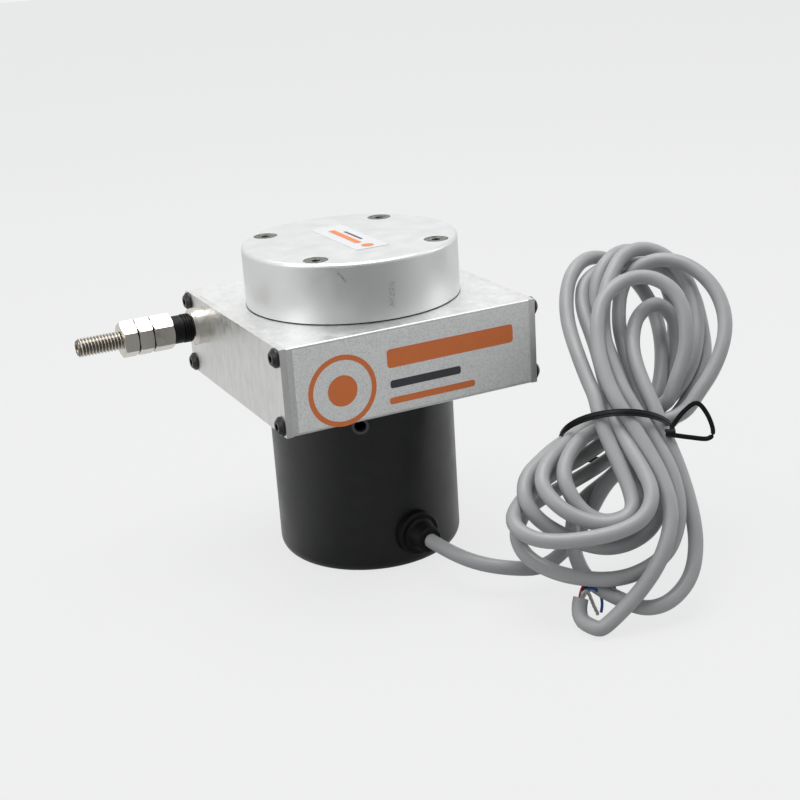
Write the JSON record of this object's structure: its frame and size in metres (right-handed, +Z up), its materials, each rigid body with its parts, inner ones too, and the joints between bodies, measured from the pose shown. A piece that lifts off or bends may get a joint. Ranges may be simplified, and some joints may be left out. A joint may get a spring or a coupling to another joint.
{
  "type": "draw wire encoder",
  "caption": "Draw wire position sensor: square box with a round spring cap, threaded wire end, black encoder can and a tied hank of grey cable.",
  "frame": {"origin": "centre of the can's flat bottom, on the axis of the drum and encoder", "axes": "+Z up along the drum's axis, -X the way the wire leaves, -Y the labelled face, +Y the face with the four tapped holes"},
  "size_m": [0.1802, 0.1425, 0.0996],
  "materials": {
    "anodised_cap": "satin silver anodised",
    "profile_skin": "fine grained silver anodised",
    "sawn_plate": "matte face with rough sawn edges",
    "black_screw": "black oxide",
    "dark_screw": "dull mottled steel",
    "black_can": "satin black anodised",
    "dark_ring": "grey black satin",
    "nickel": "bright nickel plate",
    "steel": "turned stainless steel",
    "bare_aluminium": "machined",
    "spring_steel": "blue grey rolled strip",
    "eyelet": "polished oxide ceramic",
    "black_rubber": "matte rubber",
    "grey_sheath": "satin soft sheath",
    "black_tie": "ribbed ribbon",
    "lead_wires": "coloured insulation and bare strands",
    "silver_foil": "fine grained foil",
    "white_label": "satin film",
    "green_board": "solder mask",
    "black_moulding": "moulded",
    "disc_glass": "clear with a dark track"
  },
  "bodies": {
    "housing": {"frame_profile": "profile_skin", "end_plate_left": "sawn_plate", "end_plate_right": "sawn_plate", "end_plate_screws_left": "black_screw", "end_plate_screws_right": "black_screw", "spring_cap": "anodised_cap", "cap_screws": "dark_screw", "face_label": "silver_foil", "cap_label": "white_label", "lower_bearing_carrier": "bare_aluminium", "upper_bearing_carrier": "bare_aluminium", "bearing_outer_rings": "steel", "main_spring": "spring_steel", "wire_outlet": "nickel", "wire_guide": "eyelet", "outlet_nut": "nickel", "encoder_can": "black_can", "access_ring": "dark_ring", "encoder_base": "bare_aluminium", "encoder_base_screws": "black_screw", "board_pillars": "steel", "circuit_board": "green_board", "read_head": "black_moulding", "board_parts": "black_moulding", "cable_grommet": "black_rubber", "cable_tail": "grey_sheath", "signal_cable": "grey_sheath", "cable_hank": "grey_sheath", "twist_tie": "black_tie", "stripped_leads": "lead_wires"},
    "reel": {"wire_drum": "bare_aluminium", "drum_shaft": "steel", "spring_arbor": "steel", "bearing_inner_rings": "steel", "bearing_ball_rows": "steel", "wound_wire": "steel", "encoder_hub": "steel", "hub_set_screw": "black_screw", "code_disc": "disc_glass", "disc_clamp": "bare_aluminium"},
    "wire_end": {"draw_wire": "steel", "rubber_buffer": "black_rubber", "wire_socket": "nickel", "threaded_stud": "nickel", "lock_nuts": "nickel"}
  },
  "joints": [
    {"name": "drum_spin", "type": "hinge", "parent": "housing", "child": "reel", "pos_m": [0, 0, 0.0685], "axis": [0, 0, 1], "range_deg": [0, 2400], "stiffness_Nm_per_rad": 0.0011, "springref_deg": -6130.65, "deforming": ["main_spring", "wound_wire"]},
    {"name": "wire_pull", "type": "slide", "parent": "housing", "child": "wire_end", "axis": [-1, 0, 0], "range_m": [0, 1.001], "deforming": ["draw_wire"]}
  ],
  "couplings": [
    {"joint": "wire_pull", "follows": "drum_spin", "m_per_rad": 0.023875}
  ]
}
